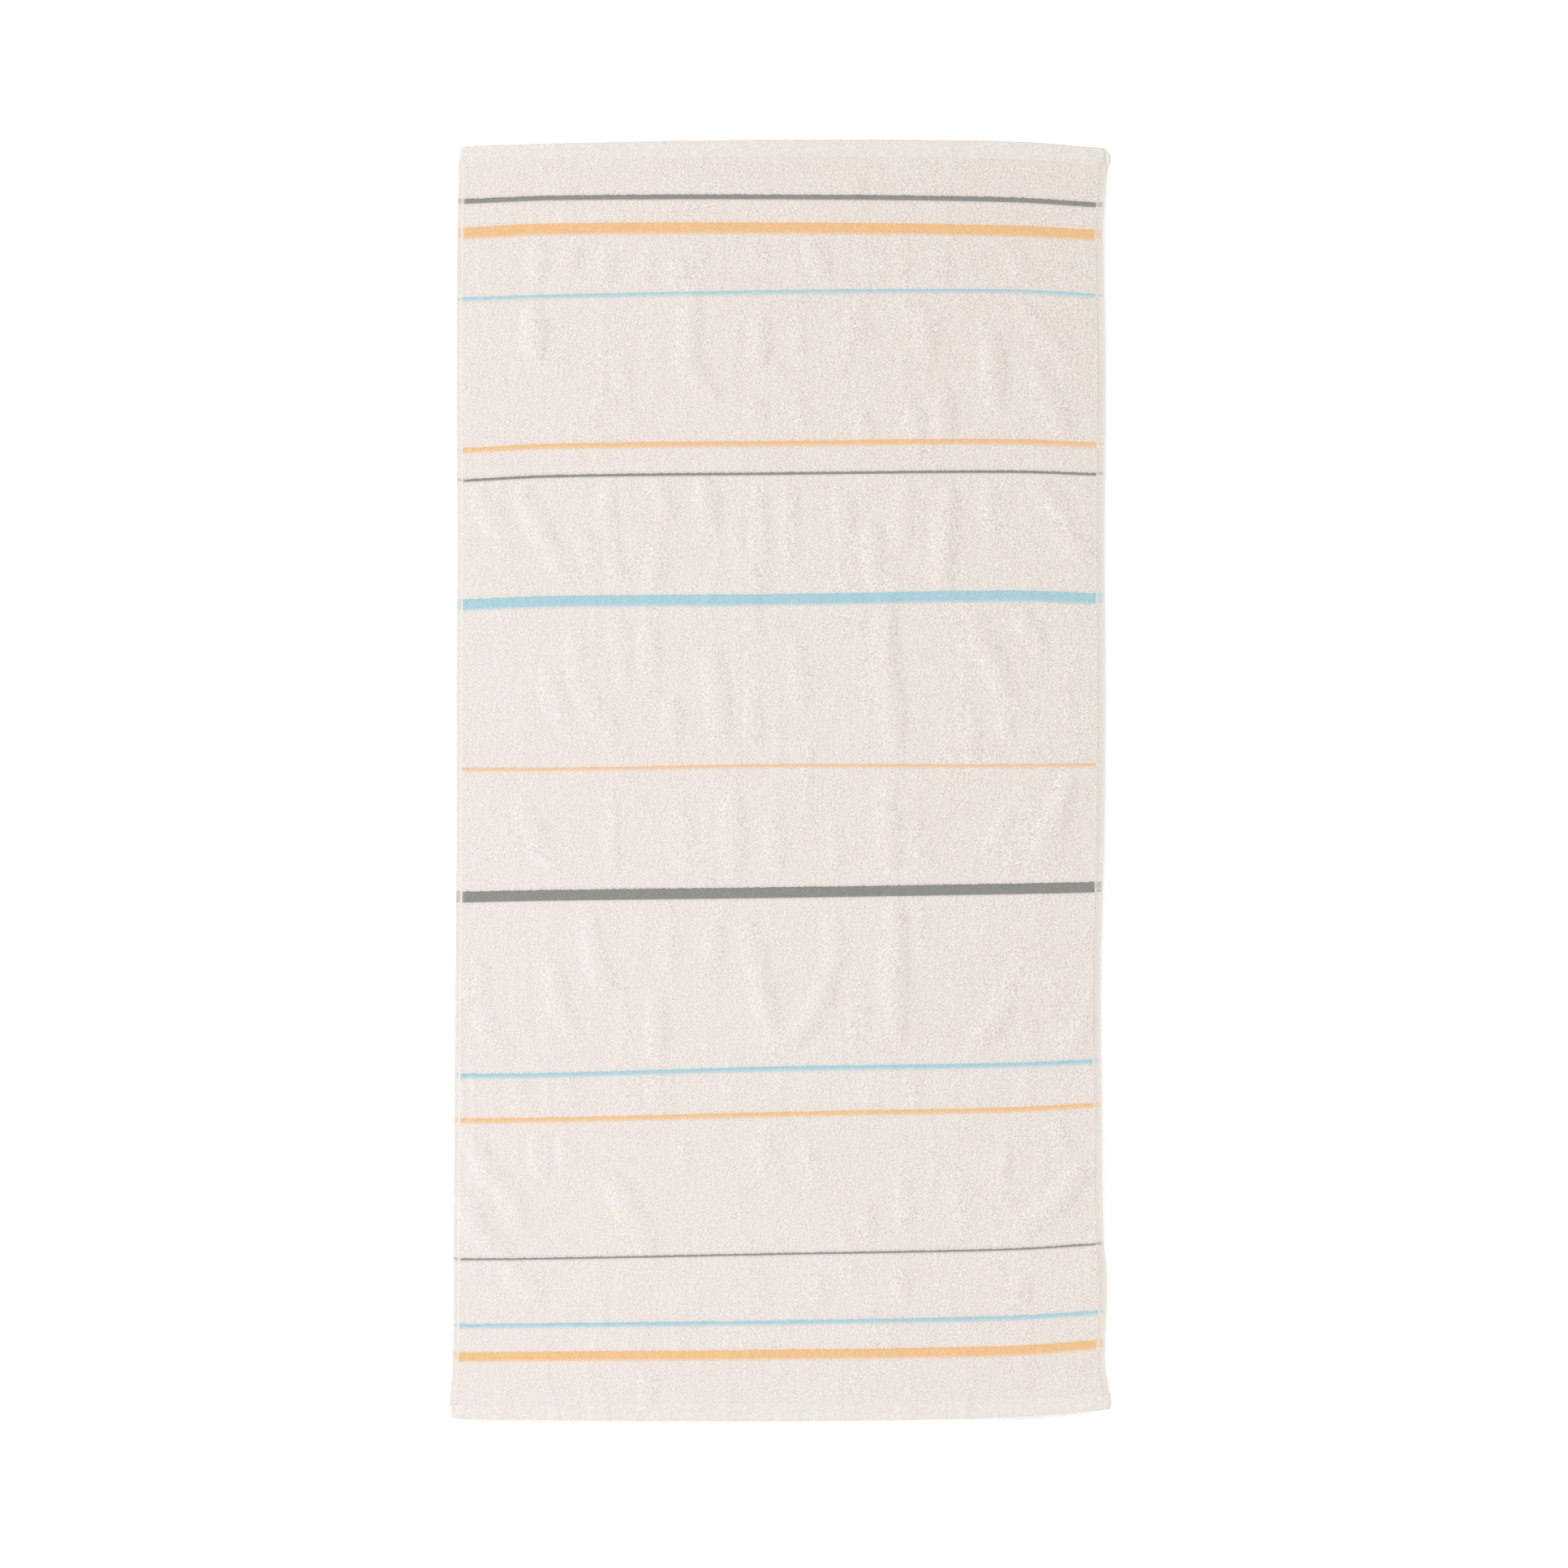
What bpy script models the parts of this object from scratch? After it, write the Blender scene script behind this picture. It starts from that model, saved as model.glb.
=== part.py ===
"""Bath towel, laid out flat.

One piece of terry cloth, 71 x 140 cm, woven with thirteen flat coloured weft
bands, with a narrow rolled hem down each long side and a flat woven hem
across each end. It lies face up on a flat surface. Its weft lines bow a
little, its sides wander in and out by a few millimetres, and it has short
soft creases where it was folded and pressed.

Units are metres, +Z is up, +Y runs along the towel and the origin is under
the middle of it, on the surface it lies on.
"""

from collections import namedtuple

import bpy

MM = 0.001

# ---------------------------------------------------------------- sizes
TERRY_THICK = 3.2 * MM  # ground weave with the pile on both faces
END_HEM_WIDE = 18.0 * MM  # flat woven turned hem across each end
END_HEM_THICK = 2.4 * MM
SIDE_HEM_WIDE = 7.0 * MM  # narrow rolled hem down each long side
SIDE_HEM_THICK = 2.8 * MM
RIM_THICK = 1.8 * MM  # at the folded edge itself

COLUMNS = 46  # cells across the towel, one of them in each side hem
ROWS = 50  # cells along the towel, one of them in each end hem
SOFTEN = 1.35  # the creases are this much broader on the coarse sheet

# ------------------------------------------------- how the weft lines lie
# Each row is one weft line: the end of the cloth, or the middle of a
# coloured band. y is where it lies on the towel's centre line, and the
# other columns are how far it bows above (+) or below (-) that, at each of
# the STATIONS across the towel. All are set by hand, in whole millimetres.
STATIONS = (-350, -250, 0, 250, 350)
Weft = namedtuple("Weft", "name y far_left left middle right far_right")
WEFT_LINES = (
    Weft("top_end", 701, -7, -4, 0, -2, -9),
    Weft("grey_1", 638, -5, -1, 0, -3, -9),
    Weft("orange_1", 604, -6, -1, 0, -3, -8),
    Weft("blue_1", 534, -8, -5, 0, 1, -4),
    Weft("orange_2", 368, -8, -3, 0, 2, -2),
    Weft("grey_2", 335, -8, -3, 0, 2, -1),
    Weft("blue_2", 197, -6, -2, 0, 4, 1),
    Weft("orange_3", 15, -4, -4, 0, 0, 1),
    Weft("grey_3", -124, -5, -3, 0, 4, 6),
    Weft("blue_3", -317, -8, -7, 0, 4, 8),
    Weft("orange_4", -367, -7, -6, 0, 5, 10),
    Weft("grey_4", -520, -6, -5, 0, 5, 11),
    Weft("blue_4", -595, -4, -3, 0, 5, 11),
    Weft("orange_5", -630, -3, -2, 0, 4, 11),
    Weft("bottom_end", -702, 1, 0, -1, 3, 11),
)

# ------------------------------------------------ how the two sides wander
# Each row is one cross-section: its y, and the x of the left and the right
# edge there. Set by hand, in whole millimetres.
Sides = namedtuple("Sides", "y left right")
SIDE_EDGES = (
    Sides(701, -352, 355),
    Sides(680, -353, 360),
    Sides(660, -354, 357),
    Sides(600, -355, 353),
    Sides(450, -356, 355),
    Sides(250, -355, 354),
    Sides(100, -356, 355),
    Sides(-50, -356, 354),
    Sides(-220, -357, 350),
    Sides(-340, -358, 351),
    Sides(-500, -359, 353),
    Sides(-550, -359, 357),
    Sides(-640, -360, 355),
    Sides(-680, -363, 361),
    Sides(-702, -363, 360),
)

# How far each corner is rounded off, in millimetres.
CORNER_RADIUS = {
    (-1, 1): 6.0,
    (1, 1): 5.0,
    (-1, -1): 6.0,
    (1, -1): 3.0,
}

# ----------------------------------------------------------- the creases
# Each row is one soft crease: the points its crest runs through, how far
# it spreads to each side, and how high it lifts the cloth off the surface.
# Only the main ones are here, placed by hand to the nearest 5 millimetres.
Crease = namedtuple("Crease", "crest spread lift")
CREASES = (
    # between the top end and the second orange band
    Crease(((-270, 520), (-270, 460)), 14, 1.8),
    Crease(((-100, 540), (-100, 455), (-70, 420)), 14, 1.8),
    Crease(((-25, 505), (-20, 455)), 13, 1.6),
    Crease(((230, 485), (235, 405)), 15, 1.8),
    Crease(((265, 520), (305, 465)), 14, 1.4),
    Crease(((280, 460), (330, 375)), 15, 1.6),
    Crease(((180, 425), (180, 370)), 13, 1.6),
    # between the second grey band and the second blue one
    Crease(((-335, 320), (-305, 260)), 14, 1.4),
    Crease(((-285, 320), (-235, 220)), 15, 1.8),
    Crease(((-135, 330), (-120, 285)), 13, 1.6),
    Crease(((-85, 330), (-75, 265)), 13, 1.6),
    Crease(((100, 285), (105, 205)), 13, 1.5),
    Crease(((185, 320), (175, 200)), 15, 2.0),
    Crease(((280, 330), (320, 275)), 14, 1.3),
    # between the second blue band and the third orange one
    Crease(((-225, 160), (-215, 100), (-195, 55)), 14, 1.3),
    Crease(((-75, 140), (-65, 45)), 14, 1.7),
    Crease(((110, 200), (120, 90), (125, 25)), 15, 1.8),
    Crease(((205, 185), (250, 85)), 15, 1.8),
    # between the third orange band and the third grey one
    Crease(((-55, -15), (-50, -110)), 14, 1.4),
    Crease(((115, -5), (120, -105)), 14, 1.5),
    Crease(((315, 5), (300, -45), (275, -95)), 15, 2.0),
    # between the third grey band and the fourth orange one
    Crease(((-330, -195), (-320, -280), (-295, -300)), 13, 1.2),
    Crease(((-215, -140), (-200, -205), (-185, -235)), 14, 1.5),
    Crease(((-135, -240), (-135, -305)), 13, 1.6),
    Crease(((-25, -180), (-15, -255)), 14, 1.7),
    Crease(((60, -190), (40, -250), (-15, -300)), 14, 1.8),
    Crease(((125, -120), (125, -210), (130, -295)), 15, 2.0),
    Crease(((250, -220), (210, -295)), 14, 1.5),
    Crease(((345, -260), (305, -305)), 14, 1.4),
    # between the fourth orange band and the bottom end
    Crease(((-345, -385), (-295, -460), (-280, -495)), 14, 1.9),
    Crease(((-350, -455), (-310, -515), (-285, -540)), 14, 1.9),
    Crease(((-305, -530), (-260, -570)), 14, 1.6),
    Crease(((-195, -425), (-150, -505), (-140, -530)), 15, 1.8),
    Crease(((-20, -380), (-15, -435)), 13, 1.3),
    Crease(((335, -425), (300, -465), (260, -500)), 15, 1.9),
)


# ---------------------------------------------------------------- shapes
def curve_through(x, knots, values):
    """The height at x of a smooth curve through the knots."""
    if x <= knots[0]:
        return values[0]
    if x >= knots[-1]:
        return values[-1]
    i = max(k for k in range(len(knots) - 1) if knots[k] <= x)
    span = knots[i + 1] - knots[i]
    f = (x - knots[i]) / span
    before = values[i - 1] if i > 0 else values[i]
    after = values[i + 2] if i + 2 < len(values) else values[i + 1]
    wide_0 = knots[i + 1] - knots[max(i - 1, 0)]
    wide_1 = knots[min(i + 2, len(knots) - 1)] - knots[i]
    slope_0 = (values[i + 1] - before) / wide_0 * span
    slope_1 = (after - values[i]) / wide_1 * span
    return (
        values[i] * (2 * f**3 - 3 * f**2 + 1)
        + slope_0 * (f**3 - 2 * f**2 + f)
        + values[i + 1] * (3 * f**2 - 2 * f**3)
        + slope_1 * (f**3 - f**2)
    )


def straight_between(x, knots, values):
    """The height at x of the straight lines that join the knots."""
    if x <= knots[0]:
        return values[0]
    for k in range(len(knots) - 1):
        if x <= knots[k + 1]:
            f = (x - knots[k]) / (knots[k + 1] - knots[k])
            return values[k] * (1 - f) + values[k + 1] * f
    return values[-1]


def lie(across, along):
    """Where a point of the cloth lies. across runs from -1 at the left edge
    to 1 at the right edge, and along is its distance up the centre line, in
    millimetres."""
    x_even = across * 355.0
    up = list(reversed(WEFT_LINES))
    bows = [curve_through(x_even, STATIONS, line[2:]) for line in up]
    y = along + straight_between(along, [line.y for line in up], bows)
    rows = list(reversed(SIDE_EDGES))
    ys = [row.y for row in rows]
    left = curve_through(y, ys, [row.left for row in rows])
    right = curve_through(y, ys, [row.right for row in rows])
    return left + (right - left) * (across + 1) / 2, y


def lift_at(x, y):
    """How high the creases lift the cloth at a point, in millimetres."""
    height = 0.0
    for crease in CREASES:
        near = 1.0e9
        for (ax, ay), (bx, by) in zip(crease.crest, crease.crest[1:]):
            dx, dy = bx - ax, by - ay
            f = ((x - ax) * dx + (y - ay) * dy) / (dx * dx + dy * dy)
            f = min(1.0, max(0.0, f))
            gap = ((x - ax - f * dx) ** 2 + (y - ay - f * dy) ** 2) ** 0.5
            near = min(near, gap)
        r = near / (crease.spread * SOFTEN)
        if r < 1.0:
            height = max(height, crease.lift * (1 - r * r) ** 2)
    return height


def stations_across():
    """The grid's columns, from -1 to 1, with the side hems' inner edges."""
    hem = SIDE_HEM_WIDE / (355.0 * MM)
    inner = COLUMNS - 2
    steps = [-1 + hem + (2 - 2 * hem) * i / inner for i in range(inner + 1)]
    return [-1.0] + steps + [1.0]


def stations_along():
    """The grid's rows in millimetres, with the end hems' inner edges."""
    low, high = WEFT_LINES[-1].y, WEFT_LINES[0].y
    hem = END_HEM_WIDE / MM
    inner = ROWS - 2
    a, b = low + hem, high - hem
    return [low] + [a + (b - a) * j / inner for j in range(inner + 1)] + [high]


def build_towel():
    # the flat cloth is a grid, and each of its points is moved to where
    # that point of the cloth lies
    bpy.ops.mesh.primitive_grid_add(
        x_subdivisions=COLUMNS, y_subdivisions=ROWS, size=2.0
    )
    towel = bpy.context.object
    towel.name = "towel"
    towel.data.name = "towel"

    across = stations_across()
    along = stations_along()
    places = []
    for vertex in towel.data.vertices:
        i = round((vertex.co.x + 1) / 2 * COLUMNS)
        j = round((vertex.co.y + 1) / 2 * ROWS)
        x, y = lie(across[i], along[j])
        # the four corner points come in, so that the corners are rounded
        if i in (0, COLUMNS) and j in (0, ROWS):
            side, end = (-1 if i == 0 else 1), (-1 if j == 0 else 1)
            inset = CORNER_RADIUS[side, end] * (1 - 0.5**0.5)
            x -= side * inset
            y -= end * inset
        places.append((i, j, x, y))

    # the origin is under the middle of the cloth's outline
    mid_x = (min(p[2] for p in places) + max(p[2] for p in places)) / 2
    mid_y = (min(p[3] for p in places) + max(p[3] for p in places)) / 2
    for vertex, (i, j, x, y) in zip(towel.data.vertices, places):
        z = lift_at(x, y)
        vertex.co = ((x - mid_x) * MM, (y - mid_y) * MM, z * MM)

    # the terry is full thickness, the hems are thinner, and the folded rim
    # is thinnest
    pile = towel.vertex_groups.new(name="thickness")
    for vertex, (i, j, x, y) in zip(towel.data.vertices, places):
        if i in (0, COLUMNS) or j in (0, ROWS):
            thick = RIM_THICK
        elif j in (1, ROWS - 1):
            thick = END_HEM_THICK
        elif i in (1, COLUMNS - 1):
            thick = SIDE_HEM_THICK
        else:
            thick = TERRY_THICK
        pile.add([vertex.index], thick / TERRY_THICK, "REPLACE")

    shell = towel.modifiers.new("cloth thickness", "SOLIDIFY")
    shell.thickness = TERRY_THICK
    shell.offset = 1.0
    shell.vertex_group = pile.name
    shell.thickness_vertex_group = 0.0
    shell.use_even_offset = False

    towel.data.shade_smooth()
    towel.data.set_sharp_from_angle(angle=0.7)
    return towel


def cotton():
    """Warm white cotton terry."""
    material = bpy.data.materials.new("cotton")
    material.use_nodes = True
    shader = material.node_tree.nodes["Principled BSDF"]
    shader.inputs["Base Color"].default_value = (0.84, 0.77, 0.73, 1.0)
    shader.inputs["Roughness"].default_value = 0.95
    shader.inputs["Metallic"].default_value = 0.0
    return material


def main():
    for thing in list(bpy.data.objects):
        bpy.data.objects.remove(thing, do_unlink=True)

    collection = bpy.data.collections.new("bath_towel")
    bpy.context.scene.collection.children.link(collection)

    towel = build_towel()
    for home in list(towel.users_collection):
        home.objects.unlink(towel)
    collection.objects.link(towel)
    towel.data.materials.append(cotton())


main()
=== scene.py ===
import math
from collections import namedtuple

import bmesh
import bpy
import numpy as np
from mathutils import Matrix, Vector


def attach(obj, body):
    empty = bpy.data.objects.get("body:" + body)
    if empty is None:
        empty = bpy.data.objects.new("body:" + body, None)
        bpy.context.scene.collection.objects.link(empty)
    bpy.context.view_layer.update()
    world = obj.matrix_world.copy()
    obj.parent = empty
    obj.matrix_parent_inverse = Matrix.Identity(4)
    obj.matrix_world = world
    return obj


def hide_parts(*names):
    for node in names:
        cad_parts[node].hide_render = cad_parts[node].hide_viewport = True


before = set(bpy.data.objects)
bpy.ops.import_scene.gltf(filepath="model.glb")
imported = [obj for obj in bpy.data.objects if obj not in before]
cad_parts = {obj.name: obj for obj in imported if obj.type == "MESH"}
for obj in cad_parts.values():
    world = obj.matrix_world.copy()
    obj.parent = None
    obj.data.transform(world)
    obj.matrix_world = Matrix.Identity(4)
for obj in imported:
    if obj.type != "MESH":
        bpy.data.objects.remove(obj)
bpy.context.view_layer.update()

# The looks of a terry bath towel that lies face up on a pale floor. The cloth
# is a thin closed sheet, with the looped pile, the flat woven bands, the hems
# and their stitches on it. Everything follows the CAD model's weft lines,
# sides and creases, repeated below in its own sizes. Lengths in the tables
# are millimetres.

MM = 0.001

# ------------------------------------------------- how the weft lines lie
STATIONS = (-350, -250, 0, 250, 350)
Weft = namedtuple("Weft", "name y far_left left middle right far_right")
WEFT_LINES = (
    Weft("top_end", 701, -7, -4, 0, -2, -9),
    Weft("grey_1", 638, -5, -1, 0, -3, -9),
    Weft("orange_1", 604, -6, -1, 0, -3, -8),
    Weft("blue_1", 534, -8, -5, 0, 1, -4),
    Weft("orange_2", 368, -8, -3, 0, 2, -2),
    Weft("grey_2", 335, -8, -3, 0, 2, -1),
    Weft("blue_2", 197, -6, -2, 0, 4, 1),
    Weft("orange_3", 15, -4, -4, 0, 0, 1),
    Weft("grey_3", -124, -5, -3, 0, 4, 6),
    Weft("blue_3", -317, -8, -7, 0, 4, 8),
    Weft("orange_4", -367, -7, -6, 0, 5, 10),
    Weft("grey_4", -520, -6, -5, 0, 5, 11),
    Weft("blue_4", -595, -4, -3, 0, 5, 11),
    Weft("orange_5", -630, -3, -2, 0, 4, 11),
    Weft("bottom_end", -702, 1, 0, -1, 3, 11),
)

# ------------------------------------------------------ the woven bands
# Each row is one band: its weft line, its dye, how wide it is, and the share
# of white yarn that shows in it.
Band = namedtuple("Band", "line dye wide white")
BANDS = (
    Band("grey_1", "grey", 5.8, 0.02),
    Band("orange_1", "orange", 12.4, 0.00),
    Band("blue_1", "blue", 4.1, 0.08),
    Band("orange_2", "orange", 6.0, 0.06),
    Band("grey_2", "grey", 3.4, 0.02),
    Band("blue_2", "blue", 12.4, 0.00),
    Band("orange_3", "orange", 3.7, 0.15),
    Band("grey_3", "grey", 12.3, 0.00),
    Band("blue_3", "blue", 5.3, 0.03),
    Band("orange_4", "orange", 5.5, 0.06),
    Band("grey_4", "grey", 2.7, 0.02),
    Band("blue_4", "blue", 5.0, 0.04),
    Band("orange_5", "orange", 10.9, 0.00),
)

# ------------------------------------------------ how the two sides wander
Sides = namedtuple("Sides", "y left right")
SIDE_EDGES = (
    Sides(701, -352, 355),
    Sides(680, -353, 356),
    Sides(660, -354, 356),
    Sides(600, -355, 353),
    Sides(450, -356, 355),
    Sides(250, -355, 354),
    Sides(100, -356, 355),
    Sides(-50, -356, 354),
    Sides(-220, -357, 350),
    Sides(-340, -358, 351),
    Sides(-500, -359, 353),
    Sides(-550, -359, 357),
    Sides(-640, -360, 355),
    Sides(-680, -363, 361),
    Sides(-702, -363, 360),
)

# how far each rounded corner reaches along the end, and along the side
Corner = namedtuple("Corner", "along up")
CORNERS = {
    (-1, 1): Corner(12.0, 4.5), (1, 1): Corner(5.0, 4.0),
    (-1, -1): Corner(7.0, 6.0), (1, -1): Corner(3.0, 3.0),
}

# ----------------------------------------------------------- the creases
Crease = namedtuple("Crease", "crest spread lift")
CREASES = (
    # between the top end and the second orange band
    Crease(((-262, 591), (-265, 547)), 13, 1.4),
    Crease(((-272, 520), (-269, 462)), 14, 1.8),
    Crease(((-192, 582), (-189, 542)), 12, 1.1),
    Crease(((-98, 542), (-102, 453), (-69, 418)), 14, 1.8),
    Crease(((-24, 507), (-22, 453)), 13, 1.6),
    Crease(((31, 592), (49, 548)), 13, 1.5),
    Crease(((247, 578), (278, 541)), 13, 1.2),
    Crease(((157, 516), (161, 460)), 13, 1.5),
    Crease(((231, 485), (236, 404)), 15, 1.8),
    Crease(((263, 520), (304, 467)), 14, 1.4),
    Crease(((278, 452), (312, 375)), 15, 1.6),
    Crease(((142, 418), (149, 369)), 12, 1.1),
    Crease(((178, 427), (180, 369)), 13, 1.6),
    Crease(((84, 409), (96, 364)), 12, 1.0),
    # between the second grey band and the second blue one
    Crease(((-337, 320), (-304, 262)), 14, 1.4),
    Crease(((-287, 320), (-233, 218)), 15, 1.8),
    Crease(((-193, 320), (-189, 276)), 12, 1.0),
    Crease(((-137, 329), (-122, 284)), 13, 1.6),
    Crease(((-84, 329), (-73, 267)), 13, 1.6),
    Crease(((-25, 329), (-21, 232)), 12, 1.2),
    Crease(((-209, 267), (-207, 231)), 12, 0.9),
    Crease(((-33, 236), (-16, 204)), 12, 0.9),
    Crease(((100, 284), (104, 204)), 13, 1.5),
    Crease(((138, 332), (132, 252)), 14, 1.6),
    Crease(((183, 320), (176, 200)), 15, 2.0),
    Crease(((278, 329), (318, 276)), 14, 1.3),
    Crease(((304, 276), (344, 236)), 14, 1.3),
    # between the second blue band and the third orange one
    Crease(((-262, 124), (-235, 58)), 14, 1.3),
    Crease(((-226, 160), (-216, 98), (-193, 53)), 14, 1.3),
    Crease(((-179, 182), (-171, 98)), 12, 1.0),
    Crease(((-146, 169), (-142, 116)), 12, 1.0),
    Crease(((-122, 92), (-116, 42)), 12, 1.1),
    Crease(((-75, 142), (-66, 44)), 14, 1.7),
    Crease(((16, 151), (24, 80)), 13, 1.2),
    Crease(((112, 200), (115, 142), (120, 89), (127, 27)), 15, 1.8),
    Crease(((207, 187), (251, 84)), 15, 1.8),
    Crease(((207, 71), (209, 18)), 12, 1.0),
    # between the third orange band and the third grey one
    Crease(((-289, -22), (-247, -98)), 14, 1.4),
    Crease(((-53, -13), (-51, -111)), 14, 1.4),
    Crease(((115, -4), (122, -107)), 14, 1.5),
    Crease(((251, -36), (227, -84)), 13, 1.1),
    Crease(((316, 4), (300, -44), (275, -93)), 15, 2.0),
    # between the third grey band and the fourth orange one
    Crease(((-331, -196), (-331, -249), (-318, -280), (-294, -302)), 13, 1.2),
    Crease(((-252, -196), (-243, -249), (-220, -292)), 13, 1.4),
    Crease(((-214, -138), (-202, -204), (-184, -236)), 14, 1.5),
    Crease(((-137, -240), (-134, -307)), 13, 1.6),
    Crease(((-122, -160), (-122, -213)), 12, 0.9),
    Crease(((-73, -156), (-72, -204)), 12, 1.0),
    Crease(((-38, -152), (-27, -200), (-15, -255), (1, -286)), 14, 1.7),
    Crease(((54, -150), (60, -191), (42, -249), (20, -280), (-16, -302)), 14, 1.8),
    Crease(((125, -120), (124, -209), (128, -293)), 15, 2.0),
    Crease(((85, -218), (85, -293)), 12, 0.9),
    Crease(((251, -222), (238, -262), (211, -295)), 14, 1.5),
    Crease(((343, -260), (304, -304)), 14, 1.4),
    Crease(((94, -320), (100, -364)), 12, 0.8),
    # between the fourth orange band and the bottom end
    Crease(((-344, -387), (-315, -436), (-293, -462), (-282, -493)), 14, 1.9),
    Crease(((-352, -453), (-333, -493), (-309, -517), (-285, -541)), 14, 1.9),
    Crease(((-303, -530), (-262, -571)), 14, 1.6),
    Crease(((-235, -387), (-235, -427)), 12, 0.9),
    Crease(((-196, -427), (-171, -462), (-149, -507), (-140, -529)), 15, 1.8),
    Crease(((-18, -378), (-17, -436)), 13, 1.3),
    Crease(((93, -467), (94, -507)), 12, 1.1),
    Crease(((133, -427), (136, -498)), 12, 1.1),
    Crease(((128, -533), (133, -580)), 12, 1.1),
    Crease(((242, -413), (245, -453)), 12, 1.0),
    Crease(((303, -373), (303, -409)), 12, 0.9),
    Crease(((337, -423), (300, -464), (259, -501)), 15, 1.9),
    Crease(((-147, -647), (-145, -685)), 11, 1.0),
    # and the faint ones
    Crease(((-226, 590), (-228, 557)), 12, 0.9),
    Crease(((-147, 582), (-147, 542)), 12, 0.8),
    Crease(((-114, 574), (-112, 541)), 11, 0.7),
    Crease(((-31, 592), (-19, 566)), 12, 1.0),
    Crease(((173, 584), (178, 543)), 12, 0.9),
    Crease(((-28, 418), (-24, 383)), 12, 1.0),
    Crease(((19, 418), (24, 385)), 12, 0.9),
    Crease(((79, 530), (84, 475)), 12, 0.8),
    Crease(((-178, 468), (-172, 424)), 13, 0.7),
    Crease(((7, 324), (12, 236)), 12, 0.9),
    Crease(((63, 324), (75, 260)), 13, 1.1),
    Crease(((223, 326), (230, 266)), 13, 1.0),
    Crease(((-184, 260), (-178, 212)), 12, 0.9),
    Crease(((-139, 260), (-136, 210)), 12, 1.0),
    Crease(((-33, 94), (-27, 37)), 12, 1.1),
    Crease(((262, 187), (286, 138)), 14, 1.6),
    Crease(((245, 80), (250, 37)), 12, 1.0),
    Crease(((-190, 74), (-187, 35)), 12, 0.9),
    Crease(((-109, -28), (-104, -104)), 15, 1.1),
    Crease(((-10, -40), (-4, -104)), 13, 1.0),
    Crease(((57, -46), (61, -104)), 12, 0.8),
    Crease(((-186, -12), (-183, -102)), 10, 0.7),
    Crease(((157, -68), (160, -106)), 12, 0.8),
    Crease(((-137, -322), (-135, -361)), 12, 1.1),
    Crease(((-232, -324), (-229, -361)), 12, 0.8),
    Crease(((-290, -326), (-287, -361)), 12, 0.8),
    Crease(((142, -322), (146, -362)), 12, 0.9),
    Crease(((-267, -390), (-262, -442)), 13, 1.0),
    Crease(((-111, -388), (-106, -430)), 12, 0.8),
    Crease(((27, -392), (34, -458)), 13, 0.8),
    Crease(((189, -428), (201, -494)), 14, 0.9),
    Crease(((41, -540), (44, -582)), 12, 0.8),
    Crease(((257, -543), (265, -577)), 13, 1.0),
    Crease(((82, 668), (86, 612)), 11, 0.6),
    Crease(((-106, 668), (-102, 612)), 11, 0.6),
)

# ---------------------------------------------------------------- sizes
HALF = 355.0  # half the cloth's even width, from edge to edge
TOP, BOTTOM = WEFT_LINES[0].y, WEFT_LINES[-1].y
END_HEM = 18.0
SIDE_HEMS = {-1: 6.5, 1: 8.0}  # the narrow hems, left and right
GROUND_LOW = 0.15  # the ground weave's underside, above the floor
GROUND_TOP = 1.5  # its upper side, under the pile
BAND_TOP = 2.0  # how high the flat woven bands lie
PILE = 2.60  # how high the valleys between the loops lie
LOOP_RISE = 0.62  # how far the loops stand above those
LOOP_A = 1.75  # the pile's mesh has a point this often across
LOOP_B = 1.62  # and this often along
CRUMB_S = 3.5  # the loops stand this far apart across
CRUMB_T = 3.0  # and this far apart along
STITCH = 3.3  # length of a stitch
CREASE_LIFT = 0.90  # the soft pile rounds the creases off by this share


# ---------------------------------------------------------------- shapes
def curve_through(x, knots, values):
    """The height at each x of a smooth curve through the knots."""
    k, v = np.asarray(knots, float), np.asarray(values, float)
    slope = np.empty_like(v)
    slope[1:-1] = (v[2:] - v[:-2]) / (k[2:] - k[:-2])
    slope[0] = (v[1] - v[0]) / (k[1] - k[0])
    slope[-1] = (v[-1] - v[-2]) / (k[-1] - k[-2])
    x = np.clip(x, k[0], k[-1])
    i = np.clip(np.searchsorted(k, x, side="right") - 1, 0, len(k) - 2)
    span = k[i + 1] - k[i]
    f = (x - k[i]) / span
    return (
        v[i] * (2 * f**3 - 3 * f**2 + 1)
        + slope[i] * span * (f**3 - 2 * f**2 + f)
        + v[i + 1] * (3 * f**2 - 2 * f**3)
        + slope[i + 1] * span * (f**3 - f**2)
    )


UP = list(reversed(WEFT_LINES))
UP_Y = np.array([line.y for line in UP])
SIDES_UP = list(reversed(SIDE_EDGES))
SIDES_Y = [row.y for row in SIDES_UP]


def lie(s, t):
    """Where points of the cloth lie, in millimetres, before the cloth is
    centred. s is the distance from the centre line on the even cloth and t
    the distance up that line."""
    s, t = np.broadcast_arrays(np.asarray(s, float), np.asarray(t, float))
    i = np.clip(np.searchsorted(UP_Y, t, side="right") - 1, 0, len(UP) - 2)
    f = np.clip((t - UP_Y[i]) / (UP_Y[i + 1] - UP_Y[i]), 0, 1)
    y = t.copy()
    for k, line in enumerate(UP):
        near = (i == k) | (i == k - 1)
        if near.any():
            bow = curve_through(s[near], STATIONS, line[2:])
            share = np.where(i[near] == k, 1 - f[near], f[near])
            y[near] += share * bow
    left = curve_through(y, SIDES_Y, [row.left for row in SIDES_UP])
    right = curve_through(y, SIDES_Y, [row.right for row in SIDES_UP])
    return left + (right - left) * (s / HALF + 1) / 2, y


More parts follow.
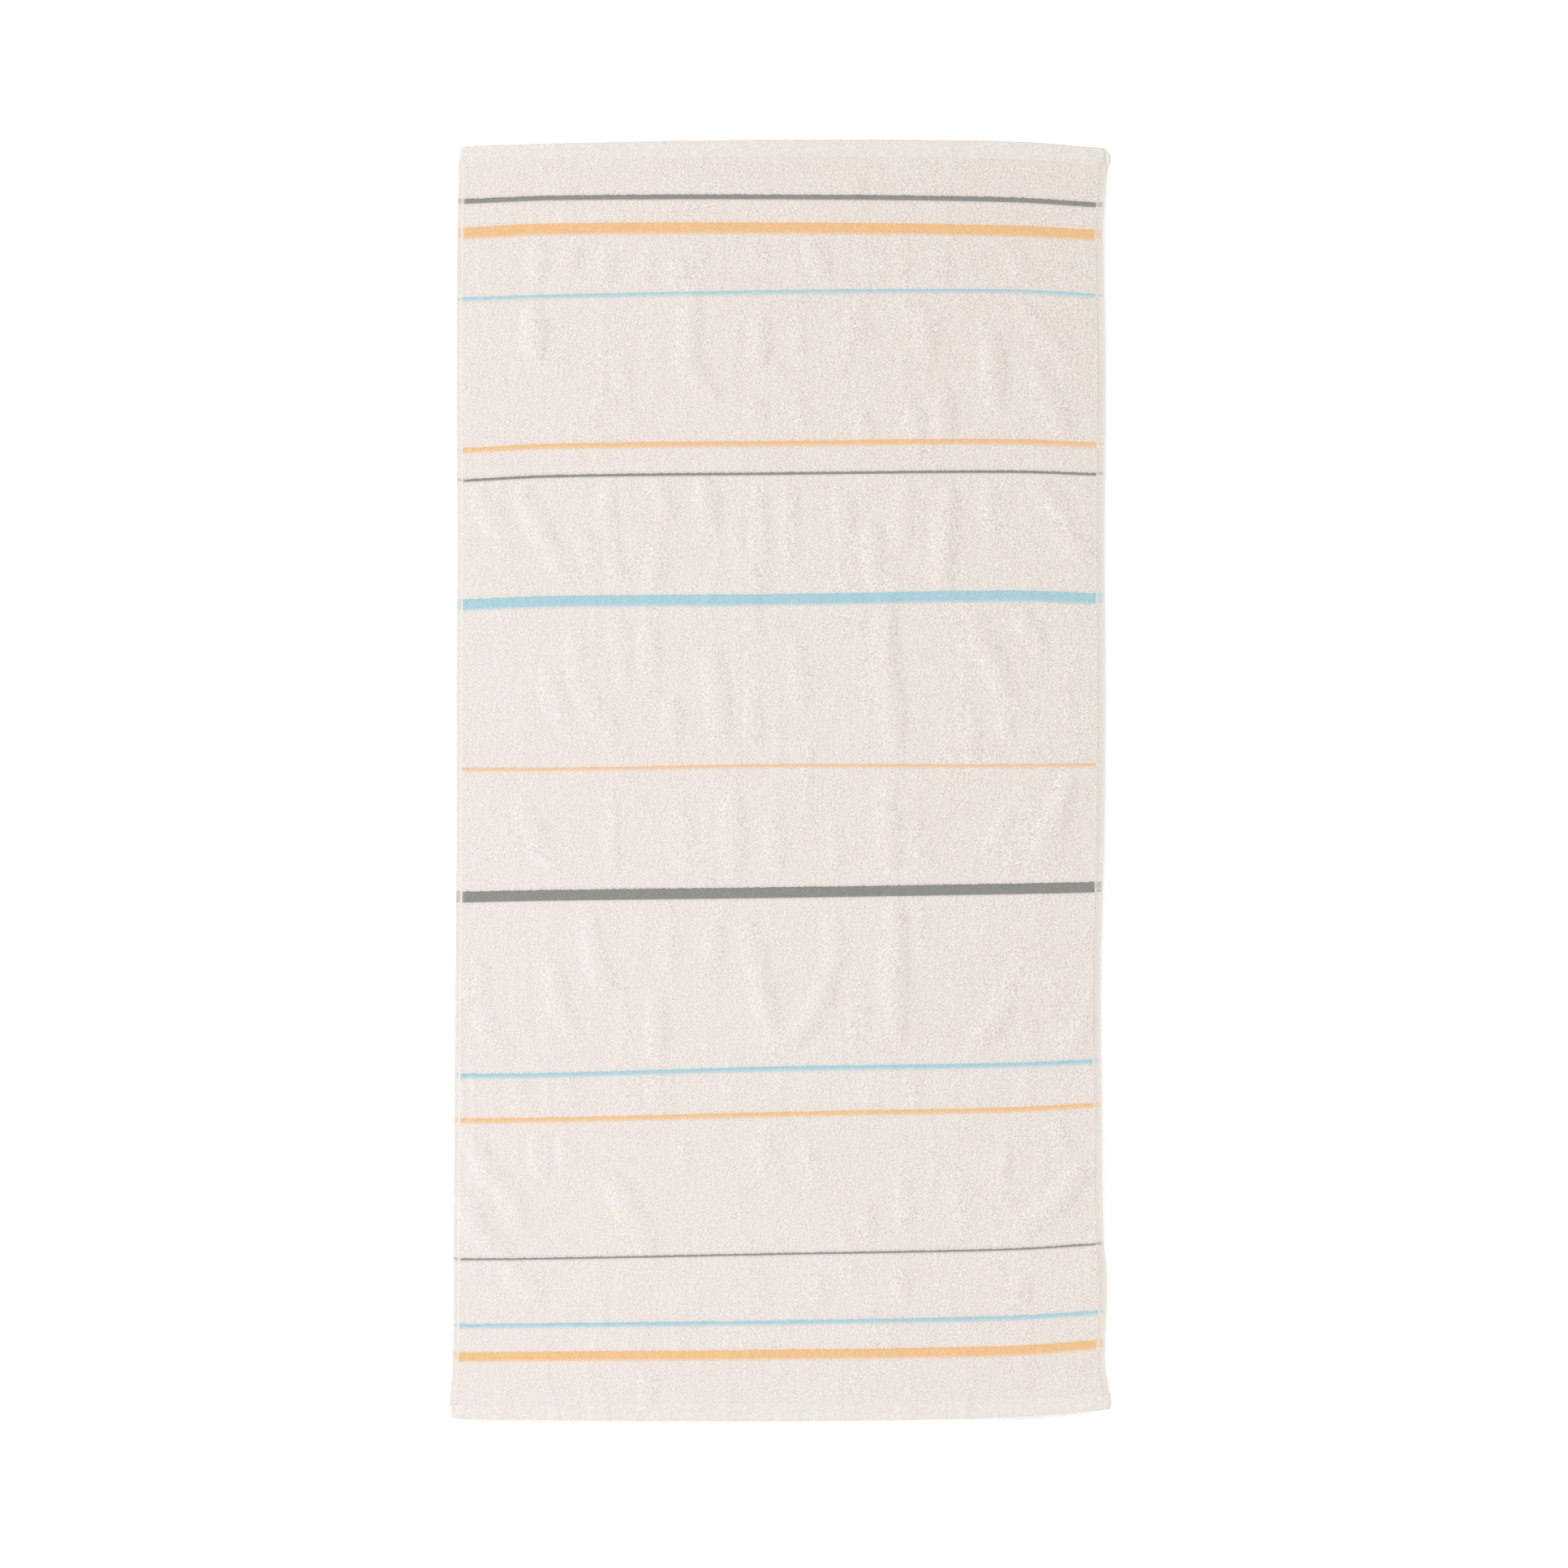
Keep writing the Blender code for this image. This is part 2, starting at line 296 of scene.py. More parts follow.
def lift_at(x, y):
    """How high the creases lift the cloth at each point. Each one fades and
    narrows towards its two ends, and faint ones lie between them."""
    total = np.zeros(x.shape)
    for crease in CREASES:
        pts = np.array(crease.crest, float)
        reach = crease.spread * 1.4
        low, high = pts.min(0) - reach, pts.max(0) + reach
        at = np.nonzero(
            (x > low[0]) & (x < high[0]) & (y > low[1]) & (y < high[1])
        )
        if not len(at[0]):
            continue
        px, py = x[at], y[at]
        runs = np.hypot(*np.diff(pts, axis=0).T)
        before = np.concatenate([[0], np.cumsum(runs)])
        near = np.full(px.shape, 1e9)
        along = np.zeros(px.shape)
        for k, ((ax, ay), (bx, by)) in enumerate(zip(pts, pts[1:])):
            dx, dy = bx - ax, by - ay
            f = ((px - ax) * dx + (py - ay) * dy) / (dx * dx + dy * dy)
            f = np.clip(f, 0, 1)
            away = np.hypot(px - ax - f * dx, py - ay - f * dy)
            along = np.where(away < near, (before[k] + f * runs[k]) / before[-1], along)
            near = np.minimum(near, away)
        full = (4 * along * (1 - along)) ** 0.6
        r = np.clip(near / (reach * (0.55 + 0.45 * full)), 0, 1)
        total[at] += (crease.lift * (0.2 + 0.8 * full) * (1 - r * r) ** 2) ** 3
    wave = x + 12 * noise(x, y, 60.0, 3)
    faint = noise(4.3 * wave, y, 90.0, 1) + 0.5 * noise(7.0 * wave, y, 60.0, 2)
    return CREASE_LIFT * np.cbrt(total) + 0.42 * np.clip(faint, 0, 1)


def noise(x, y, cell, seed):
    """Smooth noise from -1 to 1, with a new value every cell."""
    grid = np.random.default_rng(seed).uniform(-1, 1, (512, 512))
    u, v = np.asarray(x) / cell + 256.37, np.asarray(y) / cell + 256.71
    i, j = np.floor(u).astype(int), np.floor(v).astype(int)
    f, g = u - i, v - j
    f, g = f * f * (3 - 2 * f), g * g * (3 - 2 * g)
    i, j = i % 511, j % 511
    return (grid[i, j] * (1 - f) + grid[i + 1, j] * f) * (1 - g) + (
        grid[i, j + 1] * (1 - f) + grid[i + 1, j + 1] * f
    ) * g


def outline_middle():
    """The middle of the cloth's outline, which goes over the origin."""
    edge = np.linspace(-HALF, HALF, 400)
    side = np.linspace(BOTTOM, TOP, 800)
    xs, ys = zip(
        lie(edge, TOP), lie(edge, BOTTOM), lie(-HALF, side), lie(HALF, side)
    )
    xs, ys = np.concatenate(xs), np.concatenate(ys)
    return (xs.min() + xs.max()) / 2, (ys.min() + ys.max()) / 2


MID_X, MID_Y = outline_middle()


def place(s, t, z):
    """World points, in metres, of cloth points at height z above the lying
    cloth's underside."""
    x, y = lie(s, t)
    z = np.broadcast_to(z, x.shape) + lift_at(x, y)
    return np.stack([x - MID_X, y - MID_Y, z], -1) * MM


def new_mesh(name, points, faces, uvs=None, values=None, colours=None):
    """A smooth mesh object. faces is one array of triangles or quads, or a
    list of such arrays. uvs are per vertex, or per corner. values and
    colours are per vertex."""
    groups = [np.asarray(f, np.int32) for f in (faces if isinstance(faces, list) else [faces])]
    groups = [f for f in groups if len(f)]
    corners = np.concatenate([f.ravel() for f in groups])
    sizes = np.concatenate([np.full(len(f), f.shape[1]) for f in groups])
    mesh = bpy.data.meshes.new(name)
    mesh.vertices.add(len(points))
    mesh.vertices.foreach_set("co", np.asarray(points, np.float32).ravel())
    mesh.loops.add(len(corners))
    mesh.loops.foreach_set("vertex_index", corners)
    mesh.polygons.add(len(sizes))
    starts = np.concatenate([[0], np.cumsum(sizes)[:-1]]).astype(np.int32)
    mesh.polygons.foreach_set("loop_start", starts)
    mesh.update(calc_edges=True)
    mesh.polygons.foreach_set("use_smooth", np.ones(len(sizes), bool))
    if uvs is not None:
        uvs = np.asarray(uvs, np.float32)
        if len(uvs) == len(points):
            uvs = uvs[corners]
        layer = mesh.uv_layers.new(name="OFBake", do_init=False)
        layer.uv.foreach_set("vector", uvs.ravel())
    if values is not None:
        for key, value in values.items():
            attribute = mesh.attributes.new(key, "FLOAT", "POINT")
            attribute.data.foreach_set("value", np.asarray(value, np.float32))
    if colours is not None:
        attribute = mesh.color_attributes.new("dye", "FLOAT_COLOR", "POINT")
        attribute.data.foreach_set("color", np.asarray(colours, np.float32).ravel())
    mesh.validate()
    thing = bpy.data.objects.new(name, mesh)
    bpy.context.scene.collection.objects.link(thing)
    return thing


def skirted(points, triangles, border, drop, uv, uv_out):
    """Adds a border that reaches down from an open skin's edge, so that no
    gap shows under it. It has its own vertices, so that the skin's shading
    doesn't tilt towards it. border lists the edge's vertices in order round
    the skin, seen from above, against the clock."""
    n, k = len(points), len(border)
    upper = points[border]
    lower = upper.copy()
    lower[:, 2] -= drop
    a = n + np.arange(k)
    b = np.roll(a, -1)
    walls = np.concatenate([np.stack([a, a + k, b], 1), np.stack([b, a + k, b + k], 1)])
    return (
        np.concatenate([points, upper, lower]),
        np.concatenate([triangles, walls]),
        np.concatenate([uv, uv[border], uv_out]),
    )


def with_border(values, border):
    """A skin's values with those of the border that skirted adds."""
    return np.concatenate([values, values[border], values[border]])


def grid_ring(rows, cols):
    """The border of a grid of vertices, row by row from the bottom left,
    against the clock."""
    at = np.arange(rows * cols).reshape(rows, cols)
    return np.concatenate(
        [at[0, :-1], at[:-1, -1], at[-1, :0:-1], at[:0:-1, 0]]
    )


def pushed_out(uv):
    """uv moved from the border of the drawn area to the image's edge."""
    out = uv.copy()
    out[:, 0] = np.where(uv[:, 0] < 0.03, 0.004, np.where(uv[:, 0] > 0.97, 0.996, uv[:, 0]))
    out[:, 1] = np.where(uv[:, 1] < 0.03, 0.004, np.where(uv[:, 1] > 0.97, 0.996, uv[:, 1]))
    return out


# ------------------------------------------------------------- materials
def rgb(r, g, b):
    """A linear colour from sRGB numbers out of 255."""
    out = []
    for c in (r, g, b):
        c /= 255.0
        out.append(c / 12.92 if c <= 0.04045 else ((c + 0.055) / 1.055) ** 2.4)
    return tuple(out)


class Nodes:
    """A material's node tree, with short calls for its nodes."""

    def __init__(self, name, roughness=0.95, sheen=0.15):
        self.material = bpy.data.materials.new(name)
        self.material.use_nodes = True
        self.tree = self.material.node_tree
        self.shader = self.tree.nodes["Principled BSDF"]
        self.shader.inputs["Roughness"].default_value = roughness
        self.shader.inputs["Specular IOR Level"].default_value = 0.15
        self.shader.inputs["Sheen Weight"].default_value = sheen
        self.shader.inputs["Sheen Roughness"].default_value = 0.6
        self.coords = self.tree.nodes.new("ShaderNodeTexCoord").outputs["Object"]

    def link(self, a, b):
        self.tree.links.new(a, b)

    def scaled(self, x, y, z, turn=0.0):
        node = self.tree.nodes.new("ShaderNodeMapping")
        node.inputs["Scale"].default_value = (x, y, z)
        node.inputs["Rotation"].default_value = (0, 0, turn)
        self.link(self.coords, node.inputs["Vector"])
        return node.outputs["Vector"]

    def stretched(self, along, across, turn):
        """Coordinates in which a texture comes out longer along one
        direction than across it."""
        node = self.tree.nodes.new("ShaderNodeMapping")
        node.vector_type = "TEXTURE"
        node.inputs["Scale"].default_value = (along, across, 1.0)
        node.inputs["Rotation"].default_value = (0, 0, turn)
        self.link(self.coords, node.inputs["Vector"])
        return node.outputs["Vector"]

    def noise(self, vector, scale, detail=2.0, rough=0.55):
        node = self.tree.nodes.new("ShaderNodeTexNoise")
        node.inputs["Scale"].default_value = scale
        node.inputs["Detail"].default_value = detail
        node.inputs["Roughness"].default_value = rough
        self.link(vector, node.inputs["Vector"])
        return node.outputs["Fac"]

    def cells(self, vector, scale):
        node = self.tree.nodes.new("ShaderNodeTexVoronoi")
        node.inputs["Scale"].default_value = scale
        self.link(vector, node.inputs["Vector"])
        return node.outputs["Distance"]

    def along(self, axis):
        """How far along an axis each point lies, in metres."""
        node = self.tree.nodes.new("ShaderNodeSeparateXYZ")
        self.link(self.coords, node.inputs["Vector"])
        return node.outputs[axis]

    def attribute(self, name, output="Fac"):
        node = self.tree.nodes.new("ShaderNodeAttribute")
        node.attribute_name = name
        return node.outputs[output]

    def math(self, kind, a, b):
        node = self.tree.nodes.new("ShaderNodeMath")
        node.operation = kind
        for socket, value in zip(node.inputs, (a, b)):
            if isinstance(value, (int, float)):
                socket.default_value = value
            else:
                self.link(value, socket)
        return node.outputs[0]

    def span(self, value, low, high, to_low, to_high):
        node = self.tree.nodes.new("ShaderNodeMapRange")
        self.link(value, node.inputs["Value"])
        for key, number in zip(
            ("From Min", "From Max", "To Min", "To Max"), (low, high, to_low, to_high)
        ):
            node.inputs[key].default_value = number
        return node.outputs["Result"]

    def mix(self, share, a, b, blend="MIX"):
        node = self.tree.nodes.new("ShaderNodeMix")
        node.data_type = "RGBA"
        node.blend_type = blend
        sockets = (node.inputs[0], node.inputs[6], node.inputs[7])
        for socket, value in zip(sockets, (share, a, b)):
            if isinstance(value, (int, float)):
                socket.default_value = value
            elif isinstance(value, tuple):
                socket.default_value = (*value, 1.0)
            else:
                self.link(value, socket)
        return node.outputs[2]

    def bump(self, height, strength, distance, under=None):
        node = self.tree.nodes.new("ShaderNodeBump")
        node.inputs["Strength"].default_value = strength
        node.inputs["Distance"].default_value = distance
        self.link(height, node.inputs["Height"])
        if under is not None:
            self.link(under, node.inputs["Normal"])
        return node.outputs["Normal"]

    def done(self, colour, normal=None, roughness=None):
        self.link(colour, self.shader.inputs["Base Color"])
        if normal is not None:
            self.link(normal, self.shader.inputs["Normal"])
        if roughness is not None:
            self.link(roughness, self.shader.inputs["Roughness"])
        return self.material


# Cloth colours. The hems are smooth and don't shade themselves as the loops
# do, so their yarn is given a little deeper.
COTTON = (0.873, 0.806, 0.783)
COTTON_PINK = (0.879, 0.797, 0.787)
COTTON_CREAM = (0.867, 0.806, 0.755)
# painted shade for the hollows between the loops, on the front and the back
PAINTED_LOOP_SHADE = (0.682, 0.595, 0.534)
# a random warmer tone, and painted shade towards the right and the top end
WARM_TONE_AND_PAINTED_SHADE = (0.853, 0.772, 0.694)
# painted highlight for the loops' tops, and the pale flecks of the end hem's weave
PALE_YARN_AND_PAINTED_HIGHLIGHT = (0.950, 0.913, 0.886)
# The two side hems are one cloth. The left copy is lighter and the right one warmer and darker: painted light
# and shade for how the key light reaches each side.
LEFT_HEM_LIT_COPY = (0.878, 0.832, 0.786)
RIGHT_HEM_SHADED_COPY = (0.870, 0.797, 0.720)
FOLD_LIGHT = (0.890, 0.848, 0.815)
# painted shade for outer edges on the left, which face the key light, and painted light for the right edge,
# which turns away from it
LEFT_RIM_PAINTED_SHADE = (0.665, 0.630, 0.585)
RIGHT_RIM_PAINTED_LIGHT = (0.975, 0.955, 0.920)
END_COTTON = (0.868, 0.810, 0.780)
END_DEEP = (0.822, 0.753, 0.714)
# painted highlight for the end hems' right ends, and the colour of the pale strips past the edges
PALE_STRIP_AND_PAINTED_HIGHLIGHT = (0.950, 0.915, 0.880)
THREAD = (0.860, 0.812, 0.770)
DYES = {
    "orange": (0.930, 0.572, 0.285),
    "blue": (0.428, 0.662, 0.735),
    "grey": (0.285, 0.282, 0.268),
}


def tinted(n, share_of_painted_shade):
    """The cotton's colour: a little pinker here and creamier there, with painted
    shade that makes it warmer and darker towards the right and the top end, and painted shade that deepens it
    between the loops."""
    broad = n.noise(n.coords, 45.0, 2.0)
    small = n.noise(n.coords, 160.0, 1.0)
    pink = n.mix(n.span(broad, 0.40, 0.62, 0.0, 1.0), COTTON, COTTON_PINK)
    cream = n.mix(n.span(small, 0.45, 0.68, 0.0, 0.8), pink, COTTON_CREAM)
    # painted shade: warmer and darker towards the right and the top end, where the key light falls off
    painted_shade_to_top_right = n.math(
        "ADD",
        n.span(n.along("X"), -0.34, 0.34, -0.05, 0.42),
        n.span(n.along("Y"), 0.15, 0.66, 0.0, 0.42),
    )
    uneven = n.span(n.noise(n.coords, 9.0, 1.0), 0.30, 0.70, -0.16, 0.16)
    uneven = n.math("ADD", uneven, n.span(broad, 0.30, 0.70, -0.26, 0.26))
    cream = n.mix(n.math("ADD", painted_shade_to_top_right, uneven), cream, WARM_TONE_AND_PAINTED_SHADE)
    return n.mix(share_of_painted_shade, cream, PAINTED_LOOP_SHADE)


def terry_material():
    """Looped pile. The loops themselves are in the mesh, and the bump adds
    their yarn. Painted shade darkens the cotton between the loops, and painted highlights lighten their tops."""
    n = Nodes("terry_pile", 0.95, 0.12)
    loop = n.attribute("loft")
    yarn = n.noise(n.stretched(1.2, 1.0, 0.95), 740.0, 0.0)
    fine = n.noise(n.coords, 900.0, 1.0)
    patches = n.noise(n.coords, 60.0, 2.0)
    # the painted shade and highlights on the loops grow stronger where the grain attribute is high
    strength = n.math("MULTIPLY", n.attribute("grain"), n.span(patches, 0.35, 0.65, 0.62, 1.15))
    # painted shade: darker between the loops and in a fine yarn noise
    painted_shade = n.math("ADD", n.span(loop, 0.05, 0.50, 0.18, 0.0), n.span(yarn, 0.24, 0.50, 0.68, 0.0))
    colour = tinted(n, n.math("MULTIPLY", painted_shade, strength))
    # painted highlight on the loops' tops and in the fine yarn noise
    light = n.math("ADD", n.span(loop, 0.55, 1.0, 0.0, 0.20), n.span(yarn, 0.46, 0.76, 0.0, 0.85))
    colour = n.mix(n.math("MULTIPLY", light, strength), colour, PALE_YARN_AND_PAINTED_HIGHLIGHT)
    # the loops beside a band share its dyed weft
    share = n.attribute("dyed")
    colour = n.mix(share, colour, n.attribute("dye", "Color"))
    normal = n.bump(fine, 0.3, 0.0003, n.bump(yarn, 0.4, 0.0008))
    return n.done(colour, normal)


def underside_material():
    """The same cloth's back: pressed loops, with the bands showing
    through."""
    n = Nodes("terry_back", 0.95, 0.12)
    loops = n.cells(n.scaled(1.0, 0.65, 1.0), 430.0)
    yarn = n.noise(n.coords, 1500.0, 2.0)
    # painted shade darkens the hollows between the back's pressed loops
    deep = n.span(loops, 0.25, 0.75, 0.0, 0.7)
    cotton = tinted(n, deep)
    dye = n.attribute("dye", "Color")
    share = n.attribute("dyed")
    colour = n.mix(share, cotton, dye)
    lower = n.math("SUBTRACT", 1.0, loops)
    normal = n.bump(yarn, 0.4, 0.0005, n.bump(lower, 0.8, 0.0012))
    return n.done(colour, normal)


def band_material(name, dye):
    """Flat weft-faced weave: short floats in one dyed yarn, mottled, and the
    last wefts along the lower edge mixed with white."""
    n = Nodes(f"woven_{name}", 0.9, 0.1)
    floats = n.noise(n.stretched(1.5, 1.0, 0.25), 900.0, 2.0, 0.6)
    flecks = n.noise(n.stretched(1.3, 1.0, 0.9), 560.0, 1.0)
    broad = n.noise(n.coords, 90.0, 1.0)
    light = tuple(min(1.0, c * 1.10 + 0.015) for c in dye)
    deep = tuple(c * 0.86 for c in dye)
    colour = n.mix(n.span(floats, 0.35, 0.65, 0.0, 1.0), deep, light)
    colour = n.mix(n.span(flecks, 0.56, 0.72, 0.0, 0.22), colour, tuple(min(1.0, c * 1.2 + 0.06) for c in dye))
    colour = n.mix(n.span(flecks, 0.44, 0.28, 0.0, 0.30), colour, tuple(c * 0.72 for c in dye))
    colour = n.mix(n.span(broad, 0.35, 0.65, 0.0, 0.20), colour, deep)
    colour = n.mix(n.attribute("white"), colour, END_COTTON)
    normal = n.bump(floats, 0.35, 0.0005)
    return n.done(colour, normal)


def hem_material(name, cotton, rim):
    """The side hem: cloth folded over twice and sewn flat. The bands' ends
    show on it only faintly, between white lengthwise threads."""
    n = Nodes(name, 0.95, 0.1)
    threads = n.noise(n.stretched(2.0, 0.8, math.pi / 2), 850.0, 2.0, 0.6)
    grain = n.noise(n.stretched(1.4, 1.0, 0.95), 820.0, 2.0, 0.6)
    broad = n.noise(n.coords, 70.0, 1.0)
    deep = tuple(c * 0.88 for c in cotton)
    light = tuple(min(1.0, c * 1.07) for c in cotton)
    base = n.mix(n.span(threads, 0.35, 0.65, 0.0, 1.0), deep, light)
    base = n.mix(n.span(broad, 0.40, 0.65, 0.0, 0.3), base, END_COTTON)
    share = n.math("MULTIPLY", n.attribute("dyed"), n.span(threads, 0.40, 0.58, 0.80, 0.20))
    base = n.mix(share, base, n.attribute("dye", "Color"))
    colour = n.mix(n.attribute("fold"), base, FOLD_LIGHT)
    # painted shade on the left hem's outer edge, and painted light on the right one's
    colour = n.mix(n.attribute("rim"), colour, rim)
    normal = n.bump(grain, 0.8, 0.0008)
    return n.done(colour, normal)


def end_hem_material():
    """The end hem: flat weave with fine slanting ribs."""
    n = Nodes("end_hem", 0.95, 0.1)
    ribs = n.noise(n.stretched(3.4, 1.0, 0.50), 560.0, 1.0)
    grain = n.noise(n.stretched(1.6, 1.0, 0.50), 640.0, 2.0)
    broad = n.noise(n.coords, 55.0, 1.0)
    colour = n.mix(n.span(ribs, 0.35, 0.62, 0.85, 0.0), END_COTTON, END_DEEP)
    colour = n.mix(n.span(grain, 0.38, 0.52, 0.95, 0.0), colour, END_DEEP)
    colour = n.mix(n.span(grain, 0.50, 0.62, 0.0, 0.65), colour, PALE_YARN_AND_PAINTED_HIGHLIGHT)
    colour = n.mix(n.span(broad, 0.42, 0.62, 0.0, 0.30), colour, COTTON_CREAM)
    # painted light at the hem's right end; the pale strips past the edges take this colour all over
    colour = n.mix(n.attribute("rim"), colour, PALE_STRIP_AND_PAINTED_HIGHLIGHT)
    # painted shade at the hem's left end, which faces the key light
    colour = n.mix(n.attribute("shade"), colour, LEFT_RIM_PAINTED_SHADE)
    normal = n.bump(grain, 0.7, 0.0007, n.bump(ribs, 0.5, 0.0006))
    return n.done(colour, normal)


def thread_material():
    n = Nodes("sewing_thread", 0.8, 0.2)
    twist = n.noise(n.scaled(1.0, 1.0, 1.0, 0.7), 1600.0, 1.0)
    colour = n.mix(n.span(twist, 0.35, 0.65, 0.0, 0.5), THREAD, tuple(c * 0.9 for c in THREAD))
    return n.done(colour, n.bump(twist, 0.5, 0.0003))


# ------------------------------------------------------------ the pieces
def bands_up():
    """The bands from the bottom end to the top one: middle, width, dye,
    white share and name."""
    at = {line.name: line.y for line in WEFT_LINES}
    return sorted((at[b.line], b.wide, b.dye, b.white, b.line) for b in BANDS)


def dyed(t):
    """Each point's dye and whether it has any, on the hems and the back."""
    colour = np.ones((len(t), 4), np.float32)
    share = np.zeros(len(t), np.float32)
    for middle, wide, dye, *_ in bands_up():
        on = np.abs(t - middle) <= wide / 2
        colour[on, :3] = DYES[dye]
        share[on] = 1.0
    return colour, share


def ground_cloth():
    """The ground weave, one closed sheet from edge to edge, which carries
    everything else. Its underside is the towel's back."""
    cols = np.linspace(-HALF + 2.5, HALF - 2.5, 84)
    rows = [BOTTOM + 2.5, TOP - 2.5]
    for middle, wide, *_ in bands_up():
        for edge in (middle - wide / 2, middle + wide / 2):
            rows += [edge - 0.25, edge + 0.25]
    rows = sorted(rows)
    filled = []
    for a, b in zip(rows, rows[1:]):
        steps = max(1, round((b - a) / 9.0))
        filled += [a + (b - a) * k / steps for k in range(steps)]
    rows = np.array(filled + [rows[-1]])
    s, t = np.meshgrid(cols, rows)
    h, w = s.shape
    s, t = s.ravel(), t.ravel()
    top = place(s, t, GROUND_TOP)
    low = place(s, t, GROUND_LOW + 0.05 * noise(s, t, 14.0, 5))
    at = np.arange(h * w).reshape(h, w)
    quads = np.stack(
        [at[:-1, :-1], at[:-1, 1:], at[1:, 1:], at[1:, :-1]], -1
    ).reshape(-1, 4)
    ring = grid_ring(h, w)
    after = np.roll(ring, -1)
    n = h * w
    faces = np.concatenate(
        [
            quads,
            quads[:, ::-1] + n,
            np.stack([ring + n, after + n, after, ring], 1),
        ]
    )
    # the back has most of the image, because the pile covers the top
    u, v = (s / HALF + 1) / 2, (t - BOTTOM) / (TOP - BOTTOM)
    uv_top = np.stack([0.90 + 0.08 * u, 0.02 + 0.96 * v], 1)
    uv_low = np.stack([0.88 - 0.86 * u, 0.02 + 0.96 * v], 1)
    uvs = np.concatenate([uv_top, uv_low])
    colour, share = dyed(t)
    cloth = new_mesh(
        "ground_cloth",
        np.concatenate([top, low]),
        faces,
        uvs,
        {"dyed": np.concatenate([share, share])},
        np.concatenate([colour, colour]),
    )
    cloth.data.materials.append(underside_material())
    return cloth


# where the pile starts, inside the side hems
INNER_LEFT, INNER_RIGHT = HALF - SIDE_HEMS[-1], HALF - SIDE_HEMS[1]


def crumbs(s, t, seed):
    """The pile's loops, seen as leaning crumbs of yarn that stand in uneven
    rows: near 0 between them and about 1 on their tops."""
    table = np.random.default_rng(seed).uniform(0, 1, (4, 256, 512))
    top = np.zeros(s.shape)
    row = np.rint(t / CRUMB_T).astype(int)
    for dj in (-1, 0, 1):
        j = row + dj
        shift = 0.5 * (j % 2)
        col = np.rint(s / CRUMB_S - shift).astype(int)
        for di in (-1, 0, 1):
            i = col + di
            a, b, c, d = table[:, i % 256, j % 512]
            ds = s - (i + shift + 0.60 * (a - 0.5)) * CRUMB_S
            dt = t - (j + 0.60 * (b - 0.5)) * CRUMB_T
            turn = 1.0 + 0.9 * (c - 0.5)
            along = ds * np.cos(turn) + dt * np.sin(turn)
            across = dt * np.cos(turn) - ds * np.sin(turn)
            tall = 0.60 + 0.60 * d
            top = np.maximum(
                top, tall * np.exp(-((along / 1.30) ** 2) - (across / 0.90) ** 2)
            )
    return top


